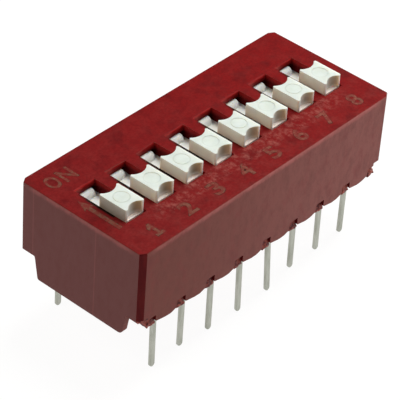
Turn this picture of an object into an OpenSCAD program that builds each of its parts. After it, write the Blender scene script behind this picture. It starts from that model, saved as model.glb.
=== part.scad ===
// Eight-position slide DIP switch for a circuit board, all sliders at OFF.
// Origin at the middle of the pin footprint, on the board's surface. +X runs towards position 8,
// +Y towards ON, +Z up and away from the board. Millimetres.

/* [Grid] */
// From one switch to the next, and from one pin to the next in a row
pitch = 2.54; // [2.3:0.01:3]
// Between the two rows of pins
row_spacing = 7.62; // [7:0.01:9]

/* [Cover] */
// From the last pin's middle to the end face
end_margin = 2.33; // [2:0.01:3]
// From a pin row's middle to the long face
side_margin = 1.01; // [0.9:0.01:1.5]
// Height of the top face above the board
cover_top = 6.54; // [6:0.01:8]
// Thickness of the outer walls
wall = 0.58; // [0.5:0.01:0.75]
// Thickness of the roof over the switches
roof = 0.42; // [0.35:0.01:0.8]
// Thickness of the partition between two switches
partition = 0.6; // [0.4:0.01:0.8]
// Each vertical corner is clipped by this much along both faces
corner_cut = 0.33; // [0.1:0.01:0.45]
// Radius along the edges of the top face
top_edge_r = 0.15; // [0.05:0.01:0.3]

/* [Apron and feet] */
// Height of the apron's lower edge above the board
standoff = 0.81; // [0.5:0.01:1.2]
// From the apron's lower edge up to the cover's lower edge at the corners
apron_h = 0.8; // [0.65:0.01:1.2]
// From the end face to the apron's end
apron_inset = 0.75; // [0.5:0.01:0.9]
// Radius of the apron's lower corners beside each notch
apron_corner_r = 0.2; // [0.05:0.01:0.4]
// Width of an end foot at its root
foot_root_w = 7.5; // [5:0.05:8]
// Width of an end foot where it stands on the board
foot_tip_w = 6.8; // [4:0.05:7.5]
// Thickness of an end foot
foot_t = 0.4; // [0.25:0.01:0.45]
// Radius of the foot's lower corners
foot_corner_r = 0.3; // [0.1:0.01:0.6]

/* [Sliders] */
// Length of the knob along its travel
knob_l = 2.16; // [1.6:0.01:2.4]
// Width of the knob
knob_w = 1.5; // [1.2:0.01:1.6]
// Height of the knob above the cover
knob_rise = 0.8; // [0.3:0.01:1.5]
// Travel from OFF to ON
travel = 1.83; // [1.4:0.01:2.1]
// Running clearance beside the knob and the skirt
run_gap = 0.03; // [0.02:0.005:0.05]
// Clearance left at each end of the travel, at the knob
stop_gap = 0.03; // [0.02:0.01:0.1]
// Clearance between the end bars and the roof
roof_gap = 0.05; // [0.03:0.01:0.1]
// The openings' middle lies this far from the cover's, towards OFF
opening_shift = 0.125; // [0:0.005:0.2]
// Radius of the round bar at each end of the slider
bar_r = 0.4; // [0.2:0.01:0.45]
// From the bars' middle line down to the saddle
saddle_drop = 0.05; // [0.01:0.01:0.3]
// Depth of the finger scoop in each end of the knob
scoop_depth = 0.31; // [0.1:0.01:0.4]
// Plastic left beside the finger scoop, at each side
scoop_land = 0.09; // [0.05:0.01:0.3]
// Height of the scoop's floor above the cover
scoop_floor = 0.12; // [0.05:0.01:0.25]

/* [Base] */
// Height of the base block
base_h = 2.44; // [2:0.01:2.7]
// The base's lower face stands this far below the apron
base_drop = 0.05; // [0:0.01:0.15]
// Clearance between the base and the cover
base_gap = 0.05; // [0.02:0.01:0.1]
// Width of a staked tooth
tooth_w = 0.65; // [0.4:0.01:0.9]
// Height of a staked tooth
tooth_h = 0.6; // [0.4:0.01:0.6]
// Clearance around a tooth in its notch
tooth_gap = 0.05; // [0.02:0.01:0.1]

/* [Terminals] */
// Width of a pin
pin_w = 0.4; // [0.3:0.01:0.6]
// Thickness of the terminal strip
pin_t = 0.2; // [0.15:0.01:0.3]
// Length of a pin below the board's surface
pin_l = 3.7; // [2.5:0.01:4.5]
// Width of the contact pad
pad_w = 1.2; // [0.9:0.01:1.4]
// Height of the wide part below the pad
blade_h = 0.8; // [0.6:0.01:1.4]
// Inside radius of the bend
bend_r = 0.1; // [0.05:0.01:0.2]
// Bare plastic between the front and rear pads
pad_gap = 0.95; // [0.7:0.01:1.2]
// Clearance around a terminal in the base
seat_gap = 0.02; // [0.01:0.005:0.04]

/* [Bridge contacts] */
// Thickness of the leaf
leaf_t = 0.12; // [0.08:0.01:0.16]
// Width of the leaf
leaf_w = 0.9; // [0.7:0.01:1]
// Height of the leaf from the pads to the slider
leaf_h = 0.8; // [0.7:0.01:0.95]
// From the leaf's middle to each foot
foot_reach = 1.3; // [1.2:0.01:1.4]
// Radius of a foot, on the leaf's middle line
leaf_foot_r = 0.25; // [0.2:0.01:0.3]
// Radius of the peg that holds the leaf
peg_r = 0.2; // [0.12:0.01:0.25]
// Clearance under the feet and around the peg
leaf_gap = 0.02; // [0.01:0.005:0.03]

/* [Hidden] */
$fn = 48;

positions = 8;
front = -1;
rear = 1;
past = 0.5; // how far a cutter runs past the face it opens
corner_steps = 6;

// cover
cover_l = (positions - 1) * pitch + 2 * end_margin;
cover_w = row_spacing + 2 * side_margin;
inner_w = cover_w - 2 * wall;
cover_low = standoff + apron_h;
apron_l = cover_l - 2 * apron_inset;
cell_w = pitch - partition;
roof_low = cover_top - roof;
opening_l = knob_l + travel + 2 * stop_gap;
opening_w = knob_w + 2 * run_gap;

// base
base_l = cover_l - 2 * wall - 2 * base_gap;
base_w = inner_w - 2 * base_gap;
base_low = standoff - base_drop;
base_top = base_low + base_h;
notch_w = tooth_w + 2 * tooth_gap;
notch_top = base_low + tooth_h + tooth_gap;

// sliders, whose middle is at the cell's middle halfway through the travel
end_gap = 2 * stop_gap;
slider_l = inner_w - travel - 2 * end_gap;
slider_y = -travel / 2;
knob_y = -opening_shift - travel / 2;
knob_top = cover_top + knob_rise;
bar_z = roof_low - roof_gap - bar_r;
saddle_z = bar_z - saddle_drop;
bar_y = slider_l / 2 - bar_r;
skirt_w = cell_w - 2 * run_gap;
skirt_low = base_top + 2 * run_gap;
scoop_w = knob_w - 2 * scoop_land;
scoop_r = (scoop_w * scoop_w / 4 + scoop_depth * scoop_depth) / (2 * scoop_depth);

// bridge contacts
channel_top = base_top + leaf_h;
channel_w = leaf_w + 4 * leaf_gap;
channel_l = 2 * (foot_reach + leaf_foot_r + leaf_t);
peg_run = 0.1; // how far the peg passes the leaf
peg_h = leaf_t + peg_run;
leaf_z = channel_top - leaf_t / 2;
foot_z = base_top + leaf_gap + leaf_t / 2 + leaf_foot_r;
foot_turn = [225, 330]; // where the foot's arc starts and ends
foot_steps = 10;

// terminals
shoulder_z = base_top - blade_h;
tip_z = -pin_l;
bend_outer_r = bend_r + pin_t;
pad_gap_y = foot_reach - travel / 2;
blade_outer = row_spacing / 2 + pin_t / 2;

function position_x(i) = (i - (positions + 1) / 2) * pitch;
function pad_start(side) = pad_gap / 2 + side * pad_gap_y;
function arc(centre, r, from, to, steps) =
    [for (i = [0:steps]) let (a = from + (to - from) * i / steps) centre + r * [cos(a), sin(a)]];
function reversed(points) = [for (i = [len(points) - 1:-1:0]) points[i]];
function mirrored(points) = [for (p = points) [-p[0], p[1]]];
function direction(points, i) =
    let (d = points[min(i + 1, len(points) - 1)] - points[max(i - 1, 0)]) d / norm(d);
function beside(points, distance) =
    [for (i = [0:len(points) - 1])
        let (d = direction(points, i)) points[i] + distance * [-d[1], d[0]]];

// a flat shape drawn in (Y, Z) and given a width along X
module across_x(width) {
    rotate([90, 0, 90]) linear_extrude(width, center = true) children();
}

// a flat shape drawn in (X, Z) and given a thickness along Y
module across_y(thickness) {
    rotate([90, 0, 0]) linear_extrude(thickness, center = true) children();
}

// takes a length of edge off to a radius, the edge running along X with the body at -Y, -Z
module edge_cutter(length, r) {
    across_x(length) difference() {
        translate([-r, -r]) square(2 * r);
        translate([-r, -r]) circle(r);
    }
}

module clipped_rectangle(l, w, clip) {
    polygon([
        [-l / 2 + clip, -w / 2], [l / 2 - clip, -w / 2],
        [l / 2, -w / 2 + clip], [l / 2, w / 2 - clip],
        [l / 2 - clip, w / 2], [-l / 2 + clip, w / 2],
        [-l / 2, w / 2 - clip], [-l / 2, -w / 2 + clip]
    ]);
}

// the apron between two notches, its lower corners rounded
module apron_tab(x) {
    tab_w = pitch - notch_w;
    translate([x, 0]) {
        translate([-tab_w / 2, standoff + apron_corner_r])
            square([tab_w, cover_low - standoff - apron_corner_r]);
        translate([-tab_w / 2 + apron_corner_r, standoff])
            square([tab_w - 2 * apron_corner_r, apron_corner_r]);
        for (s = [-1, 1])
            translate([s * (tab_w / 2 - apron_corner_r), standoff + apron_corner_r])
                circle(apron_corner_r);
    }
}

module apron(side) {
    translate([0, side * (cover_w - wall) / 2, 0]) across_y(wall) {
        for (i = [1:positions]) apron_tab(position_x(i));
        translate([-apron_l / 2, notch_top]) square([apron_l, cover_low - notch_top]);
    }
}

// the foot that stands on the board, flush with the end face
module end_foot(side) {
    corner = arc([foot_tip_w / 2 - foot_corner_r, foot_corner_r], foot_corner_r, -90, 0, corner_steps);
    half = concat(corner, [[foot_root_w / 2, cover_low]]);
    translate([side * (cover_l - foot_t) / 2, 0, 0]) across_x(foot_t)
        polygon(concat(half, reversed(mirrored(half))));
}

module cover() {
    color("firebrick") {
        difference() {
            translate([0, 0, cover_low]) linear_extrude(cover_top - cover_low)
                clipped_rectangle(cover_l, cover_w, corner_cut);
            translate([-cover_l / 2 + wall, -inner_w / 2, cover_low - past])
                cube([cover_l - 2 * wall, inner_w, base_top + base_gap - cover_low + past]);
            for (i = [1:positions]) translate([position_x(i), 0, 0]) {
                translate([-cell_w / 2, -inner_w / 2, base_top])
                    cube([cell_w, inner_w, roof_low - base_top]);
                translate([-opening_w / 2, -opening_shift - opening_l / 2, roof_low - past])
                    cube([opening_w, opening_l, roof + 2 * past]);
            }
            for (turn = [0, 180]) rotate([0, 0, turn]) {
                translate([0, cover_w / 2, cover_top]) edge_cutter(cover_l, top_edge_r);
                translate([cover_l / 2, 0, cover_top]) rotate([0, 0, -90])
                    edge_cutter(cover_w, top_edge_r);
                for (s = [-1, 1])
                    translate([s * (cover_l - corner_cut) / 2, (cover_w - corner_cut) / 2, cover_top])
                        rotate([0, 0, -45 * s]) edge_cutter(4 * corner_cut, top_edge_r);
            }
        }
        for (side = [front, rear]) {
            apron(side);
            end_foot(side);
        }
    }
}

// the hollow for one terminal, open at the base's top and bottom
module terminal_seat(side) {
    pad_l = blade_outer - pad_start(side);
    mirror([0, side == front ? 1 : 0, 0]) {
        translate([-pad_w / 2 - seat_gap, pad_start(side) - seat_gap, base_top - pin_t])
            cube([pad_w + 2 * seat_gap, pad_l + 2 * seat_gap, pin_t + past]);
        translate([-pad_w / 2 - seat_gap, blade_outer - pin_t - seat_gap, shoulder_z])
            cube([pad_w + 2 * seat_gap, pin_t + 2 * seat_gap, blade_h + past]);
        translate([-pad_w / 2 - seat_gap, blade_outer - pin_t - bend_r, base_top - pin_t - bend_r])
            cube([pad_w + 2 * seat_gap, bend_r + seat_gap, bend_r + past]);
        translate([-pin_w / 2 - seat_gap, blade_outer - pin_t - seat_gap, base_low - past])
            cube([pin_w + 2 * seat_gap, pin_t + 2 * seat_gap, base_h]);
    }
}

module base() {
    color("brown") {
        difference() {
            translate([-base_l / 2, -base_w / 2, base_low]) cube([base_l, base_w, base_h]);
            for (i = [1:positions], side = [front, rear])
                translate([position_x(i), 0, 0]) terminal_seat(side);
        }
        for (i = [0:positions], side = [front, rear])
            translate([position_x(i + 0.5) - tooth_w / 2, side * (base_w + cover_w) / 4
                    - (cover_w - base_w) / 4, base_low])
                cube([tooth_w, (cover_w - base_w) / 2, tooth_h]);
    }
}

// the slider seen from its side: knob, and a round bar at each end
module slider_side() {
    translate([knob_y - slider_y - knob_l / 2, saddle_z]) square([knob_l, knob_top - saddle_z]);
    for (s = [-1, 1]) translate([s * bar_y, 0]) {
        translate([-bar_r, saddle_z]) square([2 * bar_r, bar_z - saddle_z]);
        translate([0, bar_z]) circle(bar_r);
    }
}

module actuator() {
    scoop_y = knob_l / 2 - scoop_depth + scoop_r;
    color("whitesmoke") translate([0, slider_y, 0]) {
        difference() {
            union() {
                across_x(knob_w) slider_side();
                translate([-skirt_w / 2, -slider_l / 2, skirt_low])
                    cube([skirt_w, slider_l, saddle_z - skirt_low]);
            }
            translate([-channel_w / 2, -channel_l / 2, skirt_low - past])
                cube([channel_w, channel_l, channel_top - skirt_low + past]);
            for (s = [-1, 1])
                translate([0, knob_y - slider_y + s * scoop_y, cover_top + scoop_floor])
                    cylinder(knob_rise + past, r = scoop_r);
        }
        translate([0, 0, channel_top - peg_h]) cylinder(peg_h + leaf_t, r = peg_r);
    }
}

// a leaf with two feet that slide on the pads
module bridge_contact() {
    foot = arc([foot_reach, foot_z], leaf_foot_r, foot_turn[0], foot_turn[1], foot_steps);
    plate_end = [foot[0][0] - (leaf_z - foot[0][1]), leaf_z];
    half = concat([plate_end], foot);
    line = concat(reversed(mirrored(half)), half);
    color("goldenrod") translate([0, slider_y, 0]) difference() {
        across_x(leaf_w)
            polygon(concat(beside(line, leaf_t / 2), reversed(beside(line, -leaf_t / 2))));
        translate([0, 0, leaf_z - leaf_t]) cylinder(2 * leaf_t, r = peg_r + leaf_gap);
    }
}

// the bent upper part of a terminal, seen from its side, with the pad towards the middle
module terminal_bend(side) {
    translate([blade_outer - pin_t, shoulder_z]) square([pin_t, blade_h - bend_outer_r]);
    translate([pad_start(side), base_top - pin_t])
        square([blade_outer - bend_outer_r - pad_start(side), pin_t]);
    translate([blade_outer - bend_outer_r, base_top - bend_outer_r]) intersection() {
        difference() {
            circle(bend_outer_r);
            circle(bend_r);
        }
        square(bend_outer_r);
    }
}

module terminal(side) {
    color("lightgray") mirror([0, side == front ? 1 : 0, 0]) {
        across_x(pad_w) terminal_bend(side);
        translate([0, row_spacing / 2, 0]) across_y(pin_t) {
            translate([-pin_w / 2, tip_z + pin_w / 2])
                square([pin_w, shoulder_z - tip_z - pin_w / 2]);
            translate([0, tip_z + pin_w / 2]) circle(pin_w / 2);
        }
    }
}

module at_position(i) {
    translate([position_x(i), 0, 0]) children();
}

cover();
base();
for (i = [1:positions]) {
    at_position(i) actuator();
    at_position(i) bridge_contact();
    at_position(i) terminal(front);
    at_position(i) terminal(rear);
}
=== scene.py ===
import math

import bmesh
import bpy
from mathutils import Matrix, Vector, noise


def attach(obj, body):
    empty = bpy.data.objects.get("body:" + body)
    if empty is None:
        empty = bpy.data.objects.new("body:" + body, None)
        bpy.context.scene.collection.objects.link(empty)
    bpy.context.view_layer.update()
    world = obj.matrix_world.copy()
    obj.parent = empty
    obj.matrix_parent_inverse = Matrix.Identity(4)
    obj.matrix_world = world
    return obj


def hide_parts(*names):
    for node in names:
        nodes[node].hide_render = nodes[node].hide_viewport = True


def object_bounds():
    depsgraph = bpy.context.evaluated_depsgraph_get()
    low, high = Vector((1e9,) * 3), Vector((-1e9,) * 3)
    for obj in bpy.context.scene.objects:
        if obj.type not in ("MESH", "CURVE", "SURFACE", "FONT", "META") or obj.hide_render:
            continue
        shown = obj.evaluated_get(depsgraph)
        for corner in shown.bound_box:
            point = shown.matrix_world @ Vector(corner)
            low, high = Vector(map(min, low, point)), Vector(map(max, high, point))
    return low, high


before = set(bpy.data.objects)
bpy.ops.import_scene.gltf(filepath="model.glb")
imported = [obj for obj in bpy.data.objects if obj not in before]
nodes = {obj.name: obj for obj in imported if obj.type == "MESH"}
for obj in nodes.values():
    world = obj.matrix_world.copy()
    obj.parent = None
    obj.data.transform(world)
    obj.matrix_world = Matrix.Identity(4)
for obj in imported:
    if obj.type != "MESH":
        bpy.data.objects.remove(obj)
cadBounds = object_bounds()
print("frame loaded,", len(nodes), "nodes")

mm = 0.001
pitch = 2.54
positions = range(1, 9)
scene = bpy.context.scene


def rowX(i):
    return (i - 4.5) * pitch  # middle of switch i


def notchX(k):
    return (k - 4) * pitch  # middle of notch k, 0 to 8


# camera

cameraLook = {
    "azimuth": -50.912,
    "elevation": 38.183,
    "roll": 4.233,
    "place": (-0.081009, -0.065269, 0.083425),
    "lens": 195.681,
    "sensor": 36,
    "clip": (0.001, 20),
}


def addCamera(look):
    data = bpy.data.cameras.new("camera")
    data.sensor_width = look["sensor"]
    data.lens = look["lens"]
    data.clip_start, data.clip_end = look["clip"]
    camera = bpy.data.objects.new("camera", data)
    turn = (Matrix.Rotation(math.radians(look["azimuth"]), 4, "Z")
            @ Matrix.Rotation(math.radians(90 - look["elevation"]), 4, "X")
            @ Matrix.Rotation(math.radians(look["roll"]), 4, "Z"))
    camera.matrix_world = Matrix.Translation(look["place"]) @ turn
    scene.collection.objects.link(camera)
    scene.camera = camera


addCamera(cameraLook)

# light and table

studioLook = {
    "sky": 0.11,
    "skyColor": (1.0, 0.95, 0.88),
    "keyPower": 0.268,
    "keySize": 0.09,
    "keyColor": (0.96, 1.0, 0.97),
    "keyPlace": (0.068, 0.004, 0.2),
    "fillPower": 0.11,
    "fillSize": 0.14,
    "fillColor": (1.0, 0.96, 0.88),
    "fillPlace": (0.18, -0.13, 0.1),
    "backPower": 0.125,
    "backSize": 0.12,
    "backColor": (1.0, 0.92, 0.78),
    "backPlace": (-0.13, 0.07, 0.15),
    "rightPower": 0.55,
    "rightSize": 0.1,
    "rightColor": (1.0, 0.97, 0.9),
    "rightPlace": (0.22, 0.0, 0.05),
    "tableSize": 1.5,
    "tableColor": 0.1,
    "tableGlow": 0.94,
}


def addSoftbox(name, power, size, color, place):
    data = bpy.data.lights.new(name, "AREA")
    data.energy = power
    data.size = size
    data.color = color
    softbox = bpy.data.objects.new(name, data)
    softbox.location = place
    softbox.rotation_euler = (-Vector(place)).to_track_quat("-Z", "Y").to_euler()
    softbox.visible_camera = False
    scene.collection.objects.link(softbox)


def addStudio(look):
    world = bpy.data.worlds.new("studio")
    world.use_nodes = True
    sky = world.node_tree.nodes["Background"]
    sky.inputs["Color"].default_value = (*look["skyColor"], 1)
    sky.inputs["Strength"].default_value = look["sky"]
    scene.world = world
    for name in ("key", "fill", "back", "right"):
        addSoftbox(name, *(look[name + part] for part in ("Power", "Size", "Color", "Place")))
    scene.view_settings.view_transform = "Standard"

    mesh = bpy.data.meshes.new("table")
    bm = bmesh.new()
    bmesh.ops.create_grid(bm, x_segments=1, y_segments=1, size=look["tableSize"])
    bmesh.ops.translate(bm, vec=(0, 0, cadBounds[0][2]), verts=bm.verts)
    bm.to_mesh(mesh)
    bm.free()
    paper = bpy.data.materials.new("palePaper")
    paper.use_nodes = True
    shader = paper.node_tree.nodes["Principled BSDF"]
    shader.inputs["Base Color"].default_value = (look["tableColor"],) * 3 + (1,)
    shader.inputs["Roughness"].default_value = 1.0
    shader.inputs["Specular IOR Level"].default_value = 0.0
    shader.inputs["Emission Color"].default_value = (1, 1, 1, 1)
    shader.inputs["Emission Strength"].default_value = look["tableGlow"]
    mesh.materials.append(paper)
    table = bpy.data.objects.new("table", mesh)
    scene.collection.objects.link(table)


addStudio(studioLook)
print("camera, light and table ready")

# finishes, with patterns in millimetres


def setSocket(tree, socket, value):
    if isinstance(value, bpy.types.NodeSocket):
        tree.links.new(value, socket)
    elif isinstance(value, tuple) and len(value) == 3 and socket.type == "RGBA":
        socket.default_value = (*value, 1)
    else:
        socket.default_value = value


def addNode(tree, kind, inputs=None, **settings):
    node = tree.nodes.new(kind)
    for name, value in settings.items():
        setattr(node, name, value)
    for name, value in (inputs or {}).items():
        setSocket(tree, node.inputs[name], value)
    return node


def newFinish(name, roughness, specular):
    finish = bpy.data.materials.new(name)
    finish.use_nodes = True
    tree = finish.node_tree
    shader = tree.nodes["Principled BSDF"]
    shader.inputs["Roughness"].default_value = roughness
    shader.inputs["Specular IOR Level"].default_value = specular
    coords = addNode(tree, "ShaderNodeTexCoord")
    place = addNode(tree, "ShaderNodeMapping", {"Vector": coords.outputs["Object"], "Scale": (1 / mm,) * 3})
    return finish, tree, shader, place.outputs["Vector"]


def mixColor(tree, amount, first, second):
    # by number, because the Mix node's sockets share their names
    node = addNode(tree, "ShaderNodeMix", data_type="RGBA")
    for number, value in ((0, amount), (6, first), (7, second)):
        setSocket(tree, node.inputs[number], value)
    return node.outputs[2]


def ramp(tree, value, low, high, toLow=0.0, toHigh=1.0):
    node = addNode(tree, "ShaderNodeMapRange", {"Value": value, "From Min": low, "From Max": high,
                                                "To Min": toLow, "To Max": toHigh})
    node.interpolation_type = "SMOOTHSTEP"
    return node.outputs["Result"]


def calc(tree, way, first, second=0.0):
    node = addNode(tree, "ShaderNodeMath", operation=way)
    setSocket(tree, node.inputs[0], first)
    setSocket(tree, node.inputs[1], second)
    return node.outputs[0]


def times(tree, first, *others):
    for other in others:
        first = calc(tree, "MULTIPLY", first, other)
    return first


def most(tree, first, *others):
    for other in others:
        first = calc(tree, "MAXIMUM", first, other)
    return first


def parts(tree, vector):
    return addNode(tree, "ShaderNodeSeparateXYZ", {"Vector": vector}).outputs


def facingParts(tree):
    return parts(tree, addNode(tree, "ShaderNodeTexCoord").outputs["Normal"])


def rightOfMiddle(tree, x):
    # how far to the right of its own switch's middle a point lies
    across = calc(tree, "FRACT", calc(tree, "DIVIDE", x, pitch))
    return calc(tree, "MULTIPLY", calc(tree, "SUBTRACT", across, 0.5), pitch)


def grain(tree, place, scale, detail=4.0, rough=0.55, stretch=None, shift=(0, 0, 0)):
    if stretch or any(shift):
        place = addNode(tree, "ShaderNodeMapping", {"Vector": place, "Scale": stretch or (1, 1, 1),
                                                    "Location": shift}).outputs["Vector"]
    return addNode(tree, "ShaderNodeTexNoise", {"Vector": place, "Scale": scale, "Detail": detail,
                                                "Roughness": rough}).outputs["Fac"]


def inside(tree, value, low, high, fade):
    # 1 between low and high, falling to 0 over the fade on both sides
    return times(tree, ramp(tree, value, low - fade, low), ramp(tree, value, high + fade, high))


def addBump(tree, shader, height, strength, distance):
    bump = addNode(tree, "ShaderNodeBump", {"Height": height, "Strength": strength, "Distance": distance})
    tree.links.new(bump.outputs["Normal"], shader.inputs["Normal"])


coverShape = {
    "length": 22.44,
    "width": 9.64,
    "top": 6.54,
    "low": 1.61,
    "clip": 0.38,
    "clipDepth": 0.25,
    "topRound": 0.08,
    "wall": 0.58,
    "roofLow": 6.12,
    "cellWidth": 1.94,
    "baseTop": 3.2,
    "baseGap": 0.05,
    "openingLeft": 0.8,
    "openingRight": 0.86,
    "openingFrom": -2.15,
    "openingTo": 1.9,
    "apronLow": 0.81,
    "apronBow": 0.1,
    "apronFrom": -10.47,
    "apronTo": 10.36,
    "tabSlopes": (0.8, 0.5),
    "tabRise": 0.15,
    "tabRound": 0.08,
    "notchWidth": 0.75,
    "notchTop": 1.41,
    "notchRound": 0.06,
    "footRoot": 7.34,
    "footTip": 6.8,
    "footShift": -0.12,
    "footThick": 0.4,
    "footRound": (0.3, 0.12),
    "rimRounds": (0.02, 0.06, 0.13),
    "draft": 0.01,
    "cornerRound": 0.03,
    "lowRound": 0.05,
}

coverFinish = {
    # the top face, from left to right
    "topLeft": (0.2, 0.007, 0.008),
    "topRight": (0.222, 0.003, 0.004),
    "topFade": (-11, 9),
    # clouds and specks of deep red, and how much of it they take
    "deep": (0.1, 0.0015, 0.003),
    "clouds": 0.6,
    "specks": 0.4,
    # a patchy pale painted sheen over all of the top, more towards the front, and real scuffs between the
    # knobs and the digits
    "scuffAndSheen": (0.34, 0.1, 0.085),
    "paintedSheen": (0.06, 0.13),
    "paintedSheenFade": (-0.5, -3.2),
    "scuffFrom": (-6.5, -3.1),
    "scuffTo": (7.5, -2.3),
    "scuffFade": (2.5, 0.5),
    "scuffs": 0.62,
    # painted shade along the left rim of each opening
    "rimShade": (0.012, 0.005, 0.004),
    "rimShadeReach": (0.22, 0.1, 0.0508),
    "rimShadeAlong": (-1.25, 1.5, 0.08),
    "rimShadeRear": (1.2, 0.7),
    "rimShadeRearLeast": 0.4,
    # the long sides, from left to right, and the ends; their pale tone is partly painted sheen, the long
    # sides are painted lighter towards the right as light and the ends darker as shade
    "frontLeft": (0.182, 0.05, 0.038),
    "frontRight": (0.276, 0.089, 0.077),
    "frontFade": (-11, 11),
    "end": (0.145, 0.047, 0.044),
    "ruddy": (0.22, 0.035, 0.035),
    "ruddyMost": 0.45,
    "dark": (0.12, 0.03, 0.026),
    "mottle": 0.36,
    "pits": 0.3,
    # lines that the mould's inserts leave down the end walls
    "witness": (-1.25, 3.7),
    "witnessWidth": 0.03,
    "witnessFade": 0.04,
    "witnessMost": 0.16,
    # the pale rim of the sides: a painted highlight along the rounded top edge, partly wear
    "edge": (0.44, 0.125, 0.115),
    "edgeFrom": 6.12,
    "edgeTo": 6.46,
    "edgeWander": 0.3,
    "edgeAcross": (-11, 0),
    "edgeLeft": 0.6,
    "edgeEnds": 0.75,
    "edgeCorner": 0.15,
    "edgeCornerFade": (1.2, 0.1),
    # clipped corners, painted a darker red than the rest of the cover as shade, and the openings' walls
    "corner": (0.085, 0.003, 0.004),
    "cornerStreak": (0.12, 0.006, 0.006),
    "wall": (0.25, 0.008, 0.009),
    "wallPatch": (0.3, 0.012, 0.012),
    # painted light on the left of each rear wall, and painted shade deep in the openings
    "wallLeftLit": (0.36, 0.045, 0.042),
    "wallLeftLitFade": (-0.05, -0.5),
    "wallDeepShade": (0.045, 0.001, 0.002),
    "wallDeepShadeMost": 0.8,
}


def coverTop(tree, place, at):
    look = coverFinish
    top = mixColor(tree, ramp(tree, at["X"], *look["topFade"]), look["topLeft"], look["topRight"])
    cloud = grain(tree, place, 0.9, detail=7, rough=0.62, shift=(4, 0, 0))
    top = mixColor(tree, ramp(tree, cloud, 0.47, 0.68, toHigh=look["clouds"]), top, look["deep"])
    # painted sheen: a patchy pale tone, stronger towards the front
    paintedSheen = grain(tree, place, 1.1, detail=8, rough=0.7, shift=(0, 7, 0))
    frontward = ramp(tree, at["Y"], *look["paintedSheenFade"], *look["paintedSheen"])
    top = mixColor(tree, times(tree, ramp(tree, paintedSheen, 0.4, 0.7), frontward), top, look["scuffAndSheen"])
    speck = grain(tree, place, 6, detail=4, rough=0.7)
    top = mixColor(tree, ramp(tree, speck, 0.36, 0.6, look["specks"], 0), top, look["deep"])
    scratch = grain(tree, place, 2.0, detail=8, rough=0.8, stretch=(1, 0.8, 1), shift=(2.1, 0, 0))
    zone = [inside(tree, at[axis], low, high, fade) for axis, low, high, fade
            in zip("XY", look["scuffFrom"], look["scuffTo"], look["scuffFade"])]
    amount = times(tree, ramp(tree, scratch, 0.46, 0.64), *zone, look["scuffs"])
    return mixColor(tree, amount, top, look["scuffAndSheen"])


def paintedRimShade(tree, at):
    # painted shade, fading out away from the left rim and towards the rear
    look, left = coverFinish, -coverShape["openingLeft"]
    right = rightOfMiddle(tree, at["X"])
    far, near, over = look["rimShadeReach"]
    across = times(tree, ramp(tree, right, left - far, left - near),
                   calc(tree, "LESS_THAN", right, left + over))
    along = times(tree, inside(tree, at["Y"], *look["rimShadeAlong"]),
                  ramp(tree, at["Y"], *look["rimShadeRear"], look["rimShadeRearLeast"], 1))
    row = inside(tree, at["X"], rowX(1) - 1.2, rowX(8) + 0.1, 0.05)
    return times(tree, across, along, row)


def coverSides(tree, place, at, endward):
    look = coverFinish
    # painted light and shade: lighter towards the right of the long sides, darker on the ends
    side = mixColor(tree, ramp(tree, at["X"], *look["frontFade"]), look["frontLeft"], look["frontRight"])
    red = grain(tree, place, 1.1, detail=8, rough=0.75, stretch=(1, 1, 0.6), shift=(9, 3, 0))
    side = mixColor(tree, ramp(tree, red, 0.48, 0.66, toHigh=look["ruddyMost"]), side, look["ruddy"])
    side = mixColor(tree, endward, side, look["end"])
    mottle = grain(tree, place, 2.2, detail=8, rough=0.68, stretch=(1, 1, 0.45))
    side = mixColor(tree, ramp(tree, mottle, 0.4, 0.7, toHigh=look["mottle"]), side, look["dark"])
    pits = grain(tree, place, 9, detail=4, rough=0.7, stretch=(1, 1, 0.6))
    side = mixColor(tree, ramp(tree, pits, 0.3, 0.45, look["pits"], 0), side, look["dark"])
    for y in look["witness"]:
        line = inside(tree, at["Y"], y, y + look["witnessWidth"], look["witnessFade"])
        side = mixColor(tree, times(tree, line, endward, look["witnessMost"]), side, look["edge"])
    return side


def paleRimHighlight(tree, place, at, facing, endward):
    # painted highlight, partly wear: most towards the right of the long sides, and fading out at the corners
    look, shape = coverFinish, coverShape
    worn = grain(tree, place, 2.0, detail=7, rough=0.7, shift=(3, 1, 0))
    wander = times(tree, calc(tree, "SUBTRACT", worn, 0.5), look["edgeWander"])
    rim = times(tree, ramp(tree, calc(tree, "ADD", at["Z"], wander), look["edgeFrom"], look["edgeTo"]),
                ramp(tree, facing["Z"], 0.75, 0.45))
    along = times(tree, ramp(tree, at["X"], *look["edgeAcross"], look["edgeLeft"], 1),
                  ramp(tree, endward, 0, 1, 1, look["edgeEnds"]))
    outward = calc(tree, "ADD", calc(tree, "ABSOLUTE", at["X"]), calc(tree, "ABSOLUTE", at["Y"]))
    corner = (shape["length"] + shape["width"]) / 2 - shape["clip"]
    far, near = look["edgeCornerFade"]
    toCorner = ramp(tree, outward, corner - far, corner - near, 1, look["edgeCorner"])
    return times(tree, rim, along, toCorner, ramp(tree, worn, 0.3, 0.6, 0.5, 1))


def makeCoverPlastic():
    finish, tree, shader, place = newFinish("coverPlastic", 0.5, 0.09)
    at, facing = parts(tree, place), facingParts(tree)
    endward = ramp(tree, calc(tree, "ABSOLUTE", facing["X"]), 0.4, 0.9)
    top = mixColor(tree, paintedRimShade(tree, at), coverTop(tree, place, at), coverFinish["rimShade"])
    color = mixColor(tree, ramp(tree, facing["Z"], 0.6, 0.98), coverSides(tree, place, at, endward), top)
    color = mixColor(tree, paleRimHighlight(tree, place, at, facing, endward), color, coverFinish["edge"])
    tree.links.new(color, shader.inputs["Base Color"])
    addBump(tree, shader, grain(tree, place, 14, detail=3), 0.25, 0.00002)
    return finish


def makeCornerPlastic():
    finish, tree, shader, place = newFinish("cornerPlastic", 0.35, 0.05)
    # painted shade: the clipped corners are a darker red than the rest of the cover
    streak = ramp(tree, grain(tree, place, 2.5, stretch=(1, 1, 0.2)), 0.3, 0.7)
    color = mixColor(tree, streak, coverFinish["corner"], coverFinish["cornerStreak"])
    tree.links.new(color, shader.inputs["Base Color"])
    return finish


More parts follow.
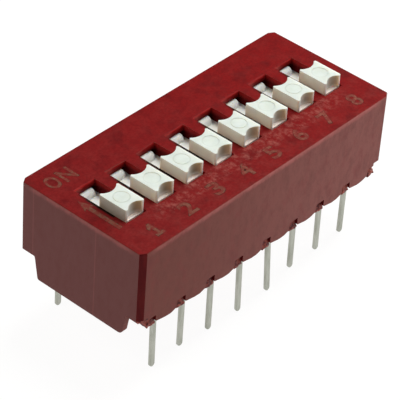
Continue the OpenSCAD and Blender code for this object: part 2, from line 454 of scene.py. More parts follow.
def makeWallPlastic():
    look = coverFinish
    finish, tree, shader, place = newFinish("wallPlastic", 0.45, 0.05)
    color = mixColor(tree, ramp(tree, grain(tree, place, 3), 0.3, 0.7), look["wall"], look["wallPatch"])
    # painted shade, darker towards the bottom of the openings, least at the left of each rear wall, which is
    # painted lighter as light
    at = parts(tree, place)
    leftLit = times(tree, ramp(tree, rightOfMiddle(tree, at["X"]), *look["wallLeftLitFade"]),
                   ramp(tree, facingParts(tree)["Y"], -0.5, -0.9))
    color = mixColor(tree, leftLit, color, look["wallLeftLit"])
    deep = ramp(tree, at["Z"], coverShape["top"] - 0.08, coverShape["roofLow"], toHigh=look["wallDeepShadeMost"])
    deep = times(tree, deep, ramp(tree, leftLit, 0, 1, 1, 0.6))
    tree.links.new(mixColor(tree, deep, color, look["wallDeepShade"]), shader.inputs["Base Color"])
    return finish


baseFinish = {
    "dark": (0.1, 0.0015, 0.003),
    "pale": (0.39, 0.075, 0.052),
}


def makeBasePlastic():
    finish, tree, shader, place = newFinish("basePlastic", 0.5, 0.4)
    patch = ramp(tree, grain(tree, place, 5, detail=5, rough=0.65), 0.42, 0.6)
    color = mixColor(tree, patch, baseFinish["dark"], baseFinish["pale"])
    tree.links.new(color, shader.inputs["Base Color"])
    addBump(tree, shader, grain(tree, place, 9), 0.4, 0.00003)
    return finish


sliderShape = {
    "knobWidth": 1.54,
    "barLength": 1.5,
    "knobFrom": -2.03,
    "knobTo": 0.055,
    "knobTop": 7.34,
    "knobCorner": 0.1,
    "saddle": 5.62,
    "barRadius": 0.4,
    "barHeight": 5.67,
    "barRound": 0.3,
    "skirtWidth": 1.88,
    "skirtLow": 3.26,
    "length": 6.53,
    "middle": -0.915,
    # the front scoop and the rear one
    "scoopWidths": (1.2, 1.3),
    "scoopDepths": (0.28, 0.27),
    "scoopFloor": 6.51,
    "edgeRound": 0.065,
    # the hollow for the bridge contact: half its width, half its length and its top
    "channel": (0.49, 1.67, 4.0),
    # the ejector pin's round mark on top
    "markRadius": 0.53,
    "markPlace": (-0.02, -0.975),
    "markGroove": 0.07,
    "markDepth": 0.025,
}

sliderFinish = {
    "light": (0.74, 0.805, 0.785),
    "shade": (0.685, 0.75, 0.72),
    # what lies under the roof is painted lighter, as light
    "underRoofLight": (0.97, 0.98, 0.93),
    "underRoofBelow": 6.3,
    # painted shade in the groove around the ejector pin's mark
    "ringShade": (0.3, 0.33, 0.3),
    "ringShadeMost": 0.12,
    # painted shade in the front scoop, from switch 2 to switch 8
    "scoopShade": (0.33, 0.26, 0.1),
    "scoopShadeMost": (0.85, 0.6),
    # the painted highlight on the land at the foot of the scoops
    "landHighlight": (1.0, 0.93, 0.86),
    # painted pink: the red cover's reflection, with a painted highlight
    "redReflection": (0.95, 0.62, 0.54),
    "redReflectionMost": 0.6,
    "redReflectionFoot": 0.6,
    # painted warm light bounced from the red cover onto the left sides, most low down
    "bounceWarm": (0.9, 0.7, 0.48),
    "bounceWarmMost": 0.4,
    # the outer side of the first knob is painted darker, as shade
    "outer": (0, 0, 0),
    "firstKnobShadeMost": 0.42,
    "glow": 0.4,
    "glowRadius": (1.0, 0.85, 0.65),
    "glowReach": 0.0007,
}


def markRingShade(tree, at, right):
    # painted shade in the groove of the mark, on top only
    shape = sliderShape
    offsets = [calc(tree, "SUBTRACT", value, middle)
               for value, middle in zip((right, at["Y"]), shape["markPlace"])]
    reach = calc(tree, "SQRT", calc(tree, "ADD", *(times(tree, offset, offset) for offset in offsets)))
    ringShade = inside(tree, reach, shape["markRadius"] - shape["markGroove"], shape["markRadius"], 0.02)
    onTop = calc(tree, "GREATER_THAN", at["Z"], shape["knobTop"] - 0.14)
    return times(tree, ringShade, onTop, sliderFinish["ringShadeMost"])


def paintedScoopShade(tree, at, right, facing):
    # painted shade, most on the right of the scoop, above its land
    shape = sliderShape
    half, front = shape["scoopWidths"][0] / 2, shape["knobFrom"] + 0.06
    rightward = times(tree, ramp(tree, right, -0.4, 0.4), ramp(tree, right, half, half - 0.08))
    high = ramp(tree, at["Z"], shape["scoopFloor"] + 0.02, shape["scoopFloor"] + 0.3)
    inward = ramp(tree, at["Y"], front + shape["scoopDepths"][0], front)
    upright = calc(tree, "LESS_THAN", facing["Z"], 0.35)
    along = ramp(tree, at["X"], rowX(2), rowX(8), *sliderFinish["scoopShadeMost"])
    return times(tree, rightward, high, calc(tree, "GREATER_THAN", inward, 0.02), upright, along)


def paintedRedReflection(tree, at, right, above, below, nearFloor):
    # painted reflection of the red cover and painted highlight, on the foot of the knob, the face beside the
    # scoop and the bar's left end
    shape, look = sliderShape, sliderFinish
    low = ramp(tree, at["Z"], shape["scoopFloor"] + 0.21, shape["scoopFloor"])
    foot = times(tree, low, above, look["redReflectionFoot"])
    front = times(tree, ramp(tree, at["Y"], shape["knobFrom"] + 0.09, shape["knobFrom"] + 0.02),
                  ramp(tree, at["Z"], shape["knobTop"] - 0.04, shape["scoopFloor"], 0.2, 1))
    beside = most(tree, ramp(tree, right, 0.3, 0.6), nearFloor)
    barEnd = times(tree, ramp(tree, right, -0.58, -0.74), below)
    return times(tree, most(tree, foot, times(tree, front, above, beside), barEnd), look["redReflectionMost"])


def makeSliderPlastic():
    look, shape = sliderFinish, sliderShape
    finish, tree, shader, place = newFinish("sliderPlastic", 0.42, 0.35)
    at, facing = parts(tree, place), facingParts(tree)
    right = rightOfMiddle(tree, at["X"])
    above = calc(tree, "GREATER_THAN", at["Z"], look["underRoofBelow"])
    below = calc(tree, "LESS_THAN", at["Z"], look["underRoofBelow"])
    nearFloor = ramp(tree, at["Z"], shape["scoopFloor"] + 0.15, shape["scoopFloor"] + 0.05)
    cloud = ramp(tree, grain(tree, place, 1.5, detail=5, rough=0.6), 0.35, 0.7)
    color = mixColor(tree, cloud, look["light"], look["shade"])
    color = mixColor(tree, markRingShade(tree, at, right), color, look["ringShade"])
    color = mixColor(tree, below, color, look["underRoofLight"])
    color = mixColor(tree, paintedScoopShade(tree, at, right, facing), color, look["scoopShade"])
    # painted highlight on the land
    landHighlight = times(tree, above, ramp(tree, facing["Z"], 0.5, 0.9), nearFloor)
    color = mixColor(tree, landHighlight, color, look["landHighlight"])
    color = mixColor(tree, paintedRedReflection(tree, at, right, above, below, nearFloor), color, look["redReflection"])
    # painted warm light on the left sides
    bounceWarm = times(tree, ramp(tree, facing["X"], -0.15, -0.7, toHigh=look["bounceWarmMost"]),
                 ramp(tree, at["Z"], shape["knobTop"], 6.6, 0.6, 1), above)
    color = mixColor(tree, bounceWarm, color, look["bounceWarm"])
    # painted shade on the outer side of the first knob
    outside = calc(tree, "LESS_THAN", at["X"], rowX(1) - shape["knobWidth"] / 2 + 0.02)
    firstKnobShaded = times(tree, outside, ramp(tree, facing["X"], -0.5, -0.9, toHigh=look["firstKnobShadeMost"]))
    color = mixColor(tree, firstKnobShaded, color, look["outer"])
    tree.links.new(color, shader.inputs["Base Color"])
    shader.inputs["Subsurface Weight"].default_value = look["glow"]
    shader.inputs["Subsurface Radius"].default_value = look["glowRadius"]
    shader.inputs["Subsurface Scale"].default_value = look["glowReach"]
    addBump(tree, shader, grain(tree, place, 12, detail=3), 0.12, 0.00001)
    return finish


metalFinish = {
    "tin": ((0.47, 0.48, 0.42), (0.36, 0.37, 0.31)),
    "leaf": ((0.8, 0.58, 0.25), (0.7, 0.48, 0.2)),
}


def makeTinPlate():
    finish, tree, shader, place = newFinish("tinPlate", 0.42, 0.5)
    cloud = ramp(tree, grain(tree, place, 3, detail=5, rough=0.6, stretch=(1, 1, 0.25)), 0.35, 0.7)
    tree.links.new(mixColor(tree, cloud, *metalFinish["tin"]), shader.inputs["Base Color"])
    shader.inputs["Metallic"].default_value = 0.7
    addBump(tree, shader, grain(tree, place, 10, detail=3, stretch=(1, 1, 0.2)), 0.2, 0.00001)
    return finish


def makeLeafMetal():
    finish, tree, shader, place = newFinish("leafMetal", 0.3, 0.5)
    cloud = ramp(tree, grain(tree, place, 3), 0.35, 0.7)
    tree.links.new(mixColor(tree, cloud, *metalFinish["leaf"]), shader.inputs["Base Color"])
    shader.inputs["Metallic"].default_value = 1.0
    return finish


printFinish = {
    # at the left and at the right of the top face
    "core": ((0.19, 0.074, 0.05), (0.26, 0.08, 0.056)),
    "rim": ((0.08, 0.017, 0.012), (0.1, 0.013, 0.01)),
    "fade": (-10, 6),
    "patch": (0.7, 0.65, 0.65),
    "patchMost": 0.7,
    "worn": (0.19, 0.012, 0.012),
    "coreWear": 0.75,
    "rimWear": 0.9,
}


def makePrint(name, left, right, wear):
    look = printFinish
    finish, tree, shader, place = newFinish(name, 0.6, 0.1)
    color = mixColor(tree, ramp(tree, parts(tree, place)["X"], *look["fade"]), left, right)
    patch = ramp(tree, grain(tree, place, 3.4, detail=7, rough=0.7), 0.4, 0.6, toHigh=look["patchMost"])
    color = mixColor(tree, patch, color, tuple(part * share for part, share in zip(left, look["patch"])))
    worn = grain(tree, place, 2.6, detail=8, rough=0.8, shift=(5, 2, 0))
    color = mixColor(tree, ramp(tree, worn, 0.43, 0.56, toHigh=wear), color, look["worn"])
    tree.links.new(color, shader.inputs["Base Color"])
    return finish


coverPlastic = makeCoverPlastic()
cornerPlastic = makeCornerPlastic()
wallPlastic = makeWallPlastic()
basePlastic = makeBasePlastic()
sliderPlastic = makeSliderPlastic()
tinPlate = makeTinPlate()
leafMetal = makeLeafMetal()
printCore = makePrint("printCore", *printFinish["core"], printFinish["coreWear"])
printRim = makePrint("printRim", *printFinish["rim"], printFinish["rimWear"])
print("finishes ready")

# mesh work, in millimetres until a piece is placed

weld = 0.0005  # vertices nearer than this become one
hair = 0.001  # how near a point has to lie to a face to count as on it
past = 1  # how far a cutter runs past the face that it opens


def addBox(bm, low, high):
    made = bmesh.ops.create_cube(bm, size=1.0)["verts"]
    bmesh.ops.scale(bm, vec=[b - a for a, b in zip(low, high)], verts=made)
    bmesh.ops.translate(bm, vec=[(a + b) / 2 for a, b in zip(low, high)], verts=made)


def addSlot(bm, x, half, ends, low, high):
    addBox(bm, (x - half, min(ends), low), (x + half, max(ends), high))


def boxMesh(low, high):
    bm = bmesh.new()
    addBox(bm, low, high)
    return toMesh(bm, "box")


def addRod(bm, radius, length, turn, centre, segments=40):
    made = bmesh.ops.create_cone(bm, cap_ends=True, segments=segments, radius1=radius, radius2=radius,
                                 depth=length)["verts"]
    bmesh.ops.rotate(bm, verts=made, cent=(0, 0, 0), matrix=turn)
    bmesh.ops.translate(bm, vec=centre, verts=made)


def toMesh(bm, name):
    bmesh.ops.recalc_face_normals(bm, faces=bm.faces)
    mesh = bpy.data.meshes.new(name)
    bm.to_mesh(mesh)
    bm.free()
    return mesh


def combine(body, tool, way="DIFFERENCE"):
    holder = bpy.data.objects.new("holder", body)
    cutter = bpy.data.objects.new("cutter", tool)
    for thing in (holder, cutter):
        scene.collection.objects.link(thing)
    change = holder.modifiers.new("combine", "BOOLEAN")
    change.object = cutter
    change.operation = way
    change.solver = "MANIFOLD"
    graph = bpy.context.evaluated_depsgraph_get()
    result = bpy.data.meshes.new_from_object(holder.evaluated_get(graph))
    bpy.data.objects.remove(holder)
    bpy.data.objects.remove(cutter)
    result.materials.clear()  # the boolean leaves an empty slot
    return result


def openMesh(mesh):
    bm = bmesh.new()
    bm.from_mesh(mesh)
    bmesh.ops.remove_doubles(bm, verts=bm.verts, dist=weld)
    bmesh.ops.dissolve_limit(bm, angle_limit=math.radians(1), verts=bm.verts, edges=bm.edges)
    return bm


def sharpEdges(bm, wanted=lambda p: True, degrees=25):
    # wanted says whether the middle of an edge lies where it should
    return [e for e in bm.edges if len(e.link_faces) == 2
            and e.calc_face_angle(0) > math.radians(degrees)
            and wanted((e.verts[0].co + e.verts[1].co) / 2)]


def uprightEdges(bm):
    return [e for e in bm.edges if abs(e.verts[0].co.z - e.verts[1].co.z) > 1]


def soften(bm, edges, width, segments=2):
    bmesh.ops.bevel(bm, geom=edges, offset=width, offset_type="OFFSET", affect="EDGES", segments=segments,
                    profile=0.5, material=-1, clamp_overlap=True)


def pull(bm, faces, by):
    pulled = bmesh.ops.extrude_face_region(bm, geom=faces)
    moved = [v for v in pulled["geom"] if isinstance(v, bmesh.types.BMVert)]
    bmesh.ops.translate(bm, vec=by, verts=moved)


def outlineBlock(points, thickness, axis="Y"):
    # an outline of (across, up, corner radius) pulled to a block, along Y or X
    bm = bmesh.new()
    verts = [bm.verts.new((across, 0, up)) for across, up, r in points]
    bm.faces.new(verts)
    for vert, r in [(v, p[2]) for v, p in zip(verts, points) if p[2] > 0]:
        bmesh.ops.bevel(bm, geom=[vert], offset=r, offset_type="OFFSET", affect="VERTICES", segments=6,
                        profile=0.5, material=-1)
    pull(bm, list(bm.faces), (0, thickness, 0))
    bmesh.ops.translate(bm, vec=(0, -thickness / 2, 0), verts=bm.verts)
    if axis == "X":
        bmesh.ops.rotate(bm, verts=bm.verts, cent=(0, 0, 0), matrix=Matrix.Rotation(math.radians(90), 3, "Z"))
    return toMesh(bm, "outline")


def shifted(mesh, x=0.0, y=0.0):
    mesh.transform(Matrix.Translation((x, y, 0)))
    return mesh


def addPiece(name, mesh, body, finishes, shift=(0, 0, 0), sharp=50):
    mesh.transform(Matrix.Scale(mm, 4) @ Matrix.Translation(shift))
    for finish in finishes:
        mesh.materials.append(finish)
    mesh.shade_smooth()
    mesh.set_sharp_from_angle(angle=math.radians(sharp))
    piece = bpy.data.objects.new(name, mesh)
    scene.collection.objects.link(piece)
    piece.modifiers.new("evenShade", "WEIGHTED_NORMAL").keep_sharp = True
    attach(piece, body)
    return piece


# cover

def bow(x):
    return 1 - (2 * x / coverShape["length"]) ** 2  # 1 at the middle of the long sides, 0 at their ends


def apronCut(shape):
    # what is cut from a long side below the block: notches, and all below the apron's tabs
    side, half = 12, shape["notchWidth"] / 2
    top, left, right = shape["notchTop"], shape["apronFrom"], shape["apronTo"]
    soft, (leftRun, rightRun) = shape["tabRound"], shape["tabSlopes"]
    points = [(-side, -past, 0), (-side, shape["low"], 0), (left, shape["low"], 0)]
    for k in range(9):
        a, b = notchX(k) - half, notchX(k) + half
        low = shape["apronLow"] - shape["apronBow"] * bow(notchX(k))
        rise = low + shape["tabRise"]
        if k > 0:
            points += [(a - rightRun, low, soft), (a, rise, soft), (a, top, shape["notchRound"])]
        else:
            points += [(left, top, 0)]
        if k < 8:
            points += [(b, top, shape["notchRound"]), (b, rise, soft), (b + leftRun, low, soft)]
        else:
            points += [(right, top, 0)]
    points += [(right, shape["low"], 0), (side, shape["low"], 0), (side, -past, 0)]
    return points


def footCut(shape):
    # what is cut beside a foot
    root, tip, low = shape["footRoot"] / 2, shape["footTip"] / 2, shape["low"]
    slope, below, side = (root - tip) / low, 0.8, 4.2
    return [(tip - below * slope, -below, 0), (tip, 0, 0), (root, low, 0), (side, low, 0), (side, -below, 0)]


def makeCover(shape):
    halfL, halfW, low, top = shape["length"] / 2, shape["width"] / 2, shape["low"], shape["top"]
    inner, innerL, behindFeet = halfW - shape["wall"], halfL - shape["wall"], halfL - shape["footThick"]
    bm = bmesh.new()
    addBox(bm, (-halfL, -halfW, 0), (halfL, halfW, top))
    # clipped further along the long sides than along the ends
    squash = shape["clipDepth"] / shape["clip"]
    bmesh.ops.scale(bm, vec=(1, 1 / squash, 1), verts=bm.verts)
    soften(bm, uprightEdges(bm), shape["clip"], 1)
    bmesh.ops.scale(bm, vec=(1, squash, 1), verts=bm.verts)
    soften(bm, uprightEdges(bm), shape["cornerRound"], 3)
    for v in bm.verts:
        if v.co.z > low:
            v.co.x -= math.copysign(shape["draft"], v.co.x)
            v.co.y -= math.copysign(shape["draft"], v.co.y)
    rim = [e for e in bm.edges if all(v.co.z > top - 0.01 for v in e.verts)]
    soften(bm, rim, shape["topRound"], 5)
    body = toMesh(bm, "cover")

    thick, inward = 1.2, 0.2
    apron = outlineBlock(apronCut(shape), thick)
    for side in (-1, 1):
        body = combine(body, shifted(apron.copy(), y=side * (halfW - inward)))
    thick, outward = 2.0, 0.25
    for end in (-1, 1):
        for side in (-1, 1):
            foot = outlineBlock([(side * y, z, r) for y, z, r in footCut(shape)], thick, "X")
            body = combine(body, shifted(foot, x=end * (halfL + outward), y=shape["footShift"]))
    body = combine(body, boxMesh((-behindFeet, -inner, -past), (behindFeet, inner, low)))
    body = combine(body, boxMesh((-innerL, -inner, low - 0.5),
                                 (innerL, inner, shape["baseTop"] + shape["baseGap"])))
    cells, openings = bmesh.new(), bmesh.new()
    for i in positions:
        half = shape["cellWidth"] / 2
        addSlot(cells, rowX(i), half, (-inner, inner), shape["baseTop"], shape["roofLow"])
        addBox(openings, (rowX(i) - shape["openingLeft"], shape["openingFrom"], shape["roofLow"] - 0.3),
               (rowX(i) + shape["openingRight"], shape["openingTo"], top + 0.5))
    body = combine(body, toMesh(openings, "openings"))
    body = combine(body, toMesh(cells, "cells"))

    bm = openMesh(body)
    crisp, right, rear = shape["rimRounds"]
    for size, wanted in ((rear, lambda p: abs(p.y - shape["openingTo"]) < hair),
                         (right, lambda p: abs(p.x % pitch - pitch / 2 - shape["openingRight"]) < hair),
                         (crisp, lambda p: True)):
        rims = sharpEdges(bm, lambda p: abs(p.z - top) < hair and abs(p.x) < rowX(8) + 1
                          and shape["openingFrom"] - 0.01 < p.y < shape["openingTo"] + 0.01 and wanted(p))
        soften(bm, rims, size, 4)
    for side, size in zip((-1, 1), shape["footRound"]):
        feet = sharpEdges(bm, lambda p: p.z < hair
                          and abs(p.y - shape["footShift"] - side * shape["footTip"] / 2) < 0.01)
        soften(bm, feet, size, 6)
    onSide = halfL - shape["clip"] - 0.01
    skirt = sharpEdges(bm, lambda p: p.z < low + hair
                       and (abs(abs(p.y) - halfW) < hair or abs(abs(p.x) - halfL) < hair
                            or (abs(p.x) > onSide and abs(p.y) > halfW - shape["clip"] - 0.01)))
    soften(bm, skirt, shape["lowRound"], 2)
    for face in bm.faces:
        n, c = face.normal, face.calc_center_median()
        clipped = n.z < 0.95 and min(abs(n.x), abs(n.y)) > 0.2 and abs(c.x) > onSide
        inNotch = (abs(n.y) < 0.9 and c.z < shape["notchTop"] + 0.01 and abs(c.y) > inner
                   and abs(c.x) < shape["apronTo"] - 0.1)
        within = c.z < top - 0.02 and abs(c.x) < halfL - shape["clip"] - 0.05 and abs(c.y) < inner + 0.01
        if clipped or inNotch:
            face.material_index = 1
        elif within:
            face.material_index = 2
    return toMesh(bm, "cover")


cover = addPiece("cover_shell", makeCover(coverShape), "housing",
                 [coverPlastic, cornerPlastic, wallPlastic])
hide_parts("cover")
print("cover ready:", len(cover.data.polygons), "faces")

# base with its staked teeth

baseShape = {
    "length": 21.18,
    "width": 8.38,
    "low": 0.76,
    "top": 3.2,
    "toothWidth": 0.76,
    "toothShift": 0.05,
    "toothLow": 0.77,
    "toothHigh": 1.34,
    "toothOut": 4.8,
    "toothLean": 0.28,
    "toothRound": 0.07,
    "toothWobble": 0.09,
    "toothGrain": 5.1,
    "toothSeed": 1,
    "padWidth": 1.24,
    "padStart": {-1: 0.07, 1: 0.84},
    "strip": 0.2,
    "gap": 0.02,
    "outer": 3.93,
    "pinWidth": 0.44,
    "shoulder": 2.4,
    "lowRound": 0.06,
}


def addTooth(bm, x, side, shape, offset):
    # leaning back, softened and pushed out of shape, as a staking tool leaves it
    tooth = bmesh.new()
    x, half, inward = x + shape["toothShift"], shape["toothWidth"] / 2, shape["width"] / 2 - 0.2
    low = shape["toothLow"] - coverShape["apronBow"] * bow(x)
    addBox(tooth, (x - half, inward, low), (x + half, shape["toothOut"], shape["toothHigh"]))
    for v in tooth.verts:
        if v.co.y > inward + 0.1 and v.co.z > low + 0.1:
            v.co.y -= shape["toothLean"]
    soften(tooth, tooth.edges[:], shape["toothRound"], 3)
    bmesh.ops.subdivide_edges(tooth, edges=[e for e in tooth.edges if e.calc_length() > 0.2], cuts=6,
                              use_grid_fill=True)
    for v in tooth.verts:
        push = noise.noise_vector(v.co * shape["toothGrain"] + Vector((offset, 0, 0)))
        v.co += Vector((push.x * 0.3, push.y, push.z * 0.5)) * shape["toothWobble"]
        v.co.y = min(v.co.y, coverShape["width"] / 2 - 0.01)
    if side < 0:
        bmesh.ops.scale(tooth, vec=(1, -1, 1), verts=tooth.verts)
    bm.from_mesh(toMesh(tooth, "tooth"))


def makeBase(shape):
    halfL, halfW, low, top = shape["length"] / 2, shape["width"] / 2, shape["low"], shape["top"]
    pad, pin, shoulder = shape["padWidth"] / 2, shape["pinWidth"] / 2, shape["shoulder"]
    body = boxMesh((-halfL, -halfW, low), (halfL, halfW, top))
    seats, wells = bmesh.new(), bmesh.new()
    for i in positions:
        for side in (-1, 1):
            x, far = rowX(i), side * shape["outer"]
            blade = side * (shape["outer"] - shape["strip"] - 2 * shape["gap"]), far
            seat = side * shape["padStart"][side], far
            addSlot(seats, x, pad, seat, top - shape["strip"] - shape["gap"], top + past)
            addSlot(wells, x, pad, blade, shoulder, top + past)
            addSlot(wells, x, pin, blade, low - past, shoulder + 0.1)
    body = combine(body, toMesh(seats, "seats"))
    body = combine(body, toMesh(wells, "wells"))
    bm = openMesh(body)
    soften(bm, sharpEdges(bm, lambda p: p.z < low + hair), shape["lowRound"], 2)
    # without a seed of its own the noise is seeded from the clock, and differs from run to run
    noise.seed_set(shape["toothSeed"])
    for k in range(9):
        for side in (-1, 1):
            addTooth(bm, notchX(k), side, shape, 7 * k + 3 * side)
    return toMesh(bm, "base")


base = addPiece("base_block", makeBase(baseShape), "housing", [basePlastic])
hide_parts("base")
print("base ready:", len(base.data.polygons), "faces")

# terminals

terminalShape = {
    "row": 3.81,
    "strip": 0.2,
    "pinWidth": 0.4,
    "tip": -3.7,
    "shoulder": 2.4,
    "top": 3.2,
    "padWidth": 1.2,
    "padStart": {-1: 0.09, 1: 0.86},
    "bendInside": 0.1,
    "coined": 0.04,
    "tipSteps": 8,
    "bendSteps": 6,
    # how far each front pin's tip stands to the right and to the rear of its place
    "lean": ((0.02, -0.09), (0.0, -0.03), (-0.22, -0.26), (-0.22, -0.42),
             (0.0, -0.42), (0.18, 0.0), (0.16, 0.0), (0.1, 0.04)),
    "leanFrom": 0.76,
}


def makeTerminal(shape, side):
    # drawn for the rear row: a flat plate with a round tip, spun over at the top, then pulled inward
    t, pin, pad = shape["strip"], shape["pinWidth"] / 2, shape["padWidth"] / 2
    outer = shape["row"] + t / 2
    bendOutside = shape["bendInside"] + t
    bm = bmesh.new()
    high = shape["top"] - bendOutside
    outline = [(-pad, high), (-pad, shape["shoulder"]), (-pin, shape["shoulder"]), (-pin, shape["tip"] + pin)]
    outline += [(pin * math.cos(a), shape["tip"] + pin + pin * math.sin(a))
                for a in (math.pi + math.pi * s / shape["tipSteps"] for s in range(1, shape["tipSteps"]))]
    outline += [(-x, z) for x, z in reversed(outline[:4])]
    face = bm.faces.new([bm.verts.new((x, outer, z)) for x, z in outline])
    pull(bm, [face], (0, -t, 0))
    bmesh.ops.recalc_face_normals(bm, faces=bm.faces)
    cap = [f for f in bm.faces if f.normal.z > 0.9 and f.calc_center_median().z > high - hair]
    spun = bmesh.ops.spin(bm, geom=cap, cent=(0, outer - bendOutside, high), axis=(1, 0, 0),
                          angle=math.radians(90), steps=shape["bendSteps"], use_merge=False)
    last = [g for g in spun["geom_last"] if isinstance(g, bmesh.types.BMFace)]
    pull(bm, last, (0, shape["padStart"][side] - (outer - bendOutside), 0))
    bmesh.ops.delete(bm, geom=[f for f in cap + last if f.is_valid], context="FACES_ONLY")
    bmesh.ops.remove_doubles(bm, verts=bm.verts, dist=hair)
    bmesh.ops.recalc_face_normals(bm, faces=bm.faces)
    soften(bm, sharpEdges(bm, degrees=60), shape["coined"], 2)
    if side < 0:
        bmesh.ops.scale(bm, vec=(1, -1, 1), verts=bm.verts)
    return toMesh(bm, "terminal")


def leaning(mesh, lean, shape):
    for v in mesh.vertices:
        down = max(0, (shape["leanFrom"] - v.co.z) / (shape["leanFrom"] - shape["tip"]))
        v.co += Vector((*lean, 0)) * down
    return mesh


for side, row in ((-1, "front"), (1, "rear")):
    terminal = makeTerminal(terminalShape, side)
    for i in positions:
        lean = terminalShape["lean"][i - 1] if side < 0 else (0, 0)
        pin = addPiece(f"terminal_piece_{row}_{i}", leaning(terminal.copy(), lean, terminalShape), "housing",
                       [tinPlate], (rowX(i), 0, 0))
        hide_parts(f"terminal_{row}_{i}")
print("terminals ready:", len(terminal.polygons), "faces each")

# sliders

def rodMesh(radius, low, high, place, segments=64):
    bm = bmesh.new()
    addRod(bm, radius, high - low, Matrix.Identity(3), (*place, (low + high) / 2), segments)
    return toMesh(bm, "rod")


def makeSlider(shape, raised):
    half, top, saddle = shape["knobWidth"] / 2, shape["knobTop"], shape["saddle"]
    front, rear = shape["middle"] - shape["length"] / 2, shape["middle"] + shape["length"] / 2
    skirt = shape["skirtWidth"] / 2
    body = boxMesh((-skirt, front, shape["skirtLow"]), (skirt, rear, saddle))
    knob = bmesh.new()
    addBox(knob, (-half, shape["knobFrom"], saddle - 0.4), (half, shape["knobTo"], top))
    soften(knob, uprightEdges(knob), shape["knobCorner"], 5)
    body = combine(body, toMesh(knob, "knob"), "UNION")
    for y in (front + shape["barRadius"], rear - shape["barRadius"]):
        bm = bmesh.new()
        addRod(bm, shape["barRadius"], shape["barLength"], Matrix.Rotation(math.radians(90), 3, "Y"),
               (0, y, shape["barHeight"]))
        soften(bm, sharpEdges(bm, degrees=60), shape["barRound"], 6)
        body = combine(body, toMesh(bm, "bar"), "UNION")
    for width, depth, end, way in zip(shape["scoopWidths"], shape["scoopDepths"],
                                      (shape["knobFrom"], shape["knobTo"]), (1, -1)):
        radius = (width ** 2 / 4 + depth ** 2) / (2 * depth)
        place = (0, end + way * (depth - radius))
        body = combine(body, rodMesh(radius, shape["scoopFloor"], top + past, place, 96))
    reach, run, high = shape["channel"]
    body = combine(body, boxMesh((-reach, shape["middle"] - run, shape["skirtLow"] - 0.5),
                                 (reach, shape["middle"] + run, high)))
    bm = openMesh(body)
    edges = sharpEdges(bm, lambda p: p.z > saddle + 0.3
                       and shape["knobFrom"] - 0.1 < p.y < shape["knobTo"] + 0.1)
    soften(bm, edges, shape["edgeRound"], 4)
    body = toMesh(bm, "slider")
    # the ejector pin's round mark: a fine groove, with the disc inside it flush or a little sunk
    groove = rodMesh(shape["markRadius"], top - shape["markDepth"], top + past, shape["markPlace"])
    if raised:
        inner = rodMesh(shape["markRadius"] - shape["markGroove"], top - past, top + 2 * past,
                        shape["markPlace"])
        groove = combine(groove, inner)
    return combine(body, groove)


sliderMeshes = [makeSlider(sliderShape, raised) for raised in (False, True)]
for i in positions:
    mesh = sliderMeshes[i % 2].copy()
    slider = addPiece(f"slider_piece_{i}", mesh, f"slider_{i}", [sliderPlastic],
                      (rowX(i), 0, 0))
    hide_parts(f"actuator_{i}")
print("sliders ready:", len(mesh.polygons), "faces each")

# print on the cover

printShape = {
    # digit: middle x, middle y, full width
    "digits": {"2": (-6.2, -3.62, 0.96), "3": (-3.65, -3.55, 0.9), "4": (-1.13, -3.63, 0.93),
               "5": (1.37, -3.6, 0.9), "6": (3.87, -3.6, 0.84), "7": (6.37, -3.63, 0.9),
               "8": (9.1, -3.62, 0.84)},
    "height": 1.22,
    "one": (-8.93, -3.6),
    "word": {"O": (-10.04, 3.35, 0.95), "N": (-8.9, 3.35, 1.02)},
    "arrow": (-10.23, -2.2, 1.08),
    "arrowShaft": 0.24,
    "arrowHead": (0.66, 0.72),
    "rimGrow": 0.065,
    "coreGrow": 0.025,
    "rimLift": 0.003,
    "coreLift": 0.006,
    "thick": 0.03,
}


def glyphMesh(text, grow):
    curve = bpy.data.curves.new("glyph", "FONT")
    curve.body = text
    curve.resolution_u = 6
    curve.offset = grow
    holder = bpy.data.objects.new("glyph", curve)
    scene.collection.objects.link(holder)
    graph = bpy.context.evaluated_depsgraph_get()
    mesh = bpy.data.meshes.new_from_object(holder.evaluated_get(graph))
    bpy.data.objects.remove(holder)
    return mesh


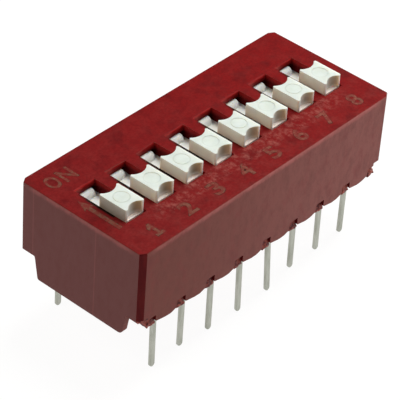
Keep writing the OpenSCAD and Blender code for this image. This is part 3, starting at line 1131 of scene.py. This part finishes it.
def layGlyph(bm, text, place, grow):
    # the plain glyph, grown to a bold one and fitted to its place
    x, y, width = place
    edge = 2 * printShape["rimGrow"]
    plain = glyphMesh(text, 0)
    xs, ys = [v.co.x for v in plain.vertices], [v.co.y for v in plain.vertices]
    tall = (printShape["height"] - edge) / (max(ys) - min(ys))
    wide = (width - edge) / (max(xs) - min(xs))
    mesh = glyphMesh(text, grow / tall)
    mesh.transform(Matrix.Translation((x, y, 0)) @ Matrix.Diagonal((wide, tall, 1, 1))
                   @ Matrix.Translation((-(max(xs) + min(xs)) / 2, -(max(ys) + min(ys)) / 2, 0)))
    bm.from_mesh(mesh)


def layOutline(bm, points):
    bm.faces.new([bm.verts.new((x, y, 0)) for x, y in points])


def layMarks(grow, lift):
    bm = bmesh.new()
    for text, place in [*printShape["digits"].items(), *printShape["word"].items()]:
        layGlyph(bm, text, place, grow)
    # the 1 has a flag and a foot
    x, y = printShape["one"]
    stem, reach, tall = 0.08 + grow, 0.3 + grow, printShape["height"] / 2 - printShape["rimGrow"] + grow
    foot = y - tall + 0.16 + 2 * grow
    layOutline(bm, [(x - reach, y - tall), (x + reach, y - tall), (x + reach, foot), (x + stem, foot),
                    (x + stem, y + tall), (x - stem, y + tall), (x - reach, y + tall - 0.3),
                    (x - reach + 0.04, y + tall - 0.46 - 2 * grow), (x - stem, y + tall - 0.3 - 2 * grow),
                    (x - stem, foot), (x - reach, foot)])
    x, tail, tip = printShape["arrow"]
    half, (wide, long) = printShape["arrowShaft"] / 2 + grow, printShape["arrowHead"]
    tail, tip = tail - grow, tip + 2 * grow
    neck, barb = tip - long - 3 * grow, 0.12
    layOutline(bm, [(x - half, tail), (x + half, tail), (x + half, neck), (x + wide / 2 + grow, neck - barb),
                    (x, tip), (x - wide / 2 - grow, neck - barb), (x - half, neck)])
    bmesh.ops.remove_doubles(bm, verts=bm.verts, dist=weld)
    for face in bm.faces:
        face.normal_update()
        if face.normal.z < 0:
            face.normal_flip()
    pull(bm, list(bm.faces), (0, 0, -printShape["thick"]))
    bmesh.ops.translate(bm, vec=(0, 0, coverShape["top"] + lift), verts=bm.verts)
    return toMesh(bm, "marks")


for name, grow, lift, finish in (("print_rim", printShape["rimGrow"], printShape["rimLift"], printRim),
                                 ("print_core", printShape["coreGrow"], printShape["coreLift"], printCore)):
    addPiece(name, layMarks(grow, lift), "housing", [finish])
print("print ready")

for name, node in nodes.items():
    if name.startswith("bridge"):
        node.data.materials.clear()
        node.data.materials.append(leafMetal)
